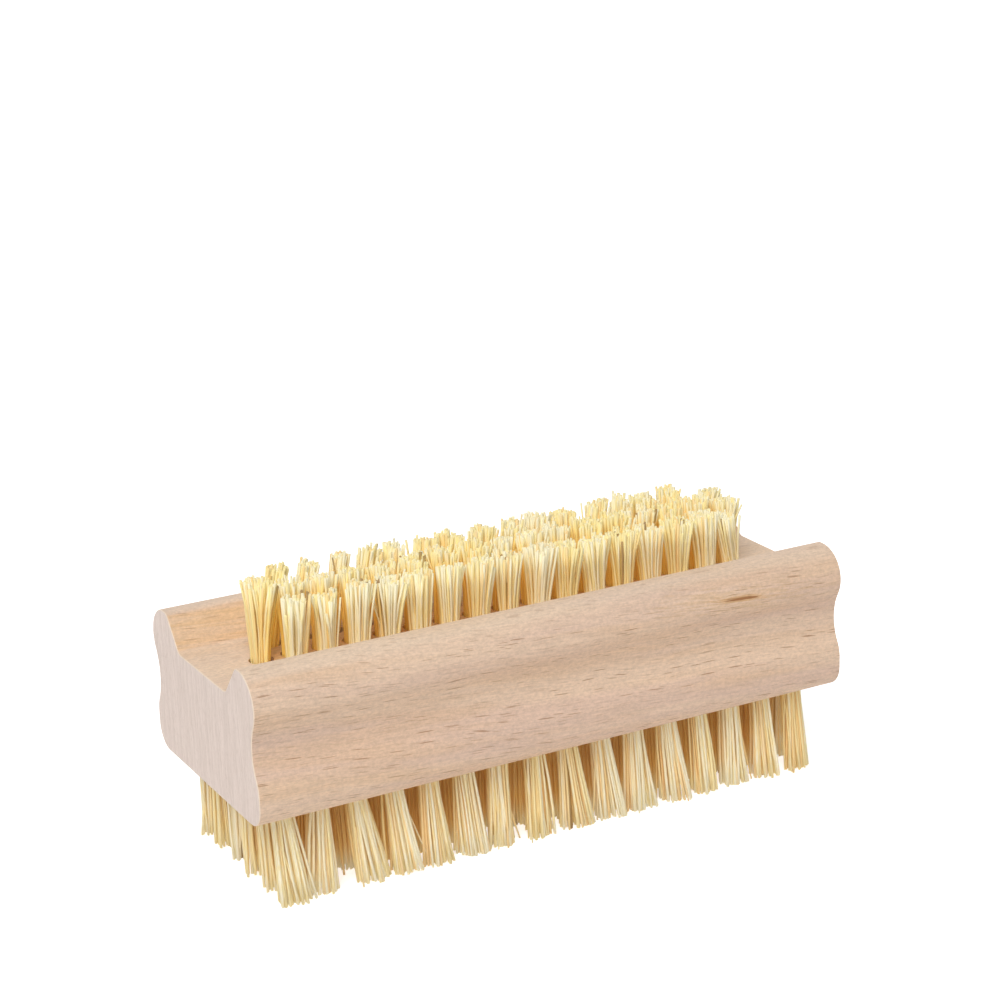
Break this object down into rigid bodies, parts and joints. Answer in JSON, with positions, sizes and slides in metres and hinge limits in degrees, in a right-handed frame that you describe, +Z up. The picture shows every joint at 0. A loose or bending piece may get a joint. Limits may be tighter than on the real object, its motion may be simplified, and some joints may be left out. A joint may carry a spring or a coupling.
{
  "type": "nail brush",
  "caption": "Two-sided wooden nail brush: moulded block with finger grooves, short tufts standing in a channel on top and longer tufts underneath.",
  "frame": {"origin": "middle of the brush's outline, on the surface that the lower tufts stand on", "axes": "+X along the block, +Y across it, +Z up from the longer tufts to the short ones"},
  "size_m": [0.095, 0.0364, 0.041],
  "materials": {
    "beech": "bare sanded beech, unvarnished",
    "bristle": "natural cream bristle, cut ends",
    "anchor_wire": "drawn flat wire, sheared ends"
  },
  "bodies": {
    "root": {"block": "beech", "top_tufts_front": "bristle", "top_tufts_middle": "bristle", "top_tufts_back": "bristle", "bottom_tufts_1": "bristle", "bottom_tufts_2": "bristle", "bottom_tufts_3": "bristle", "bottom_tufts_4": "bristle", "bottom_tufts_5": "bristle", "bottom_tufts_6": "bristle", "top_anchors_front": "anchor_wire", "top_anchors_middle": "anchor_wire", "top_anchors_back": "anchor_wire", "bottom_anchors_1": "anchor_wire", "bottom_anchors_2": "anchor_wire", "bottom_anchors_3": "anchor_wire", "bottom_anchors_4": "anchor_wire", "bottom_anchors_5": "anchor_wire", "bottom_anchors_6": "anchor_wire"}
  },
  "joints": []
}
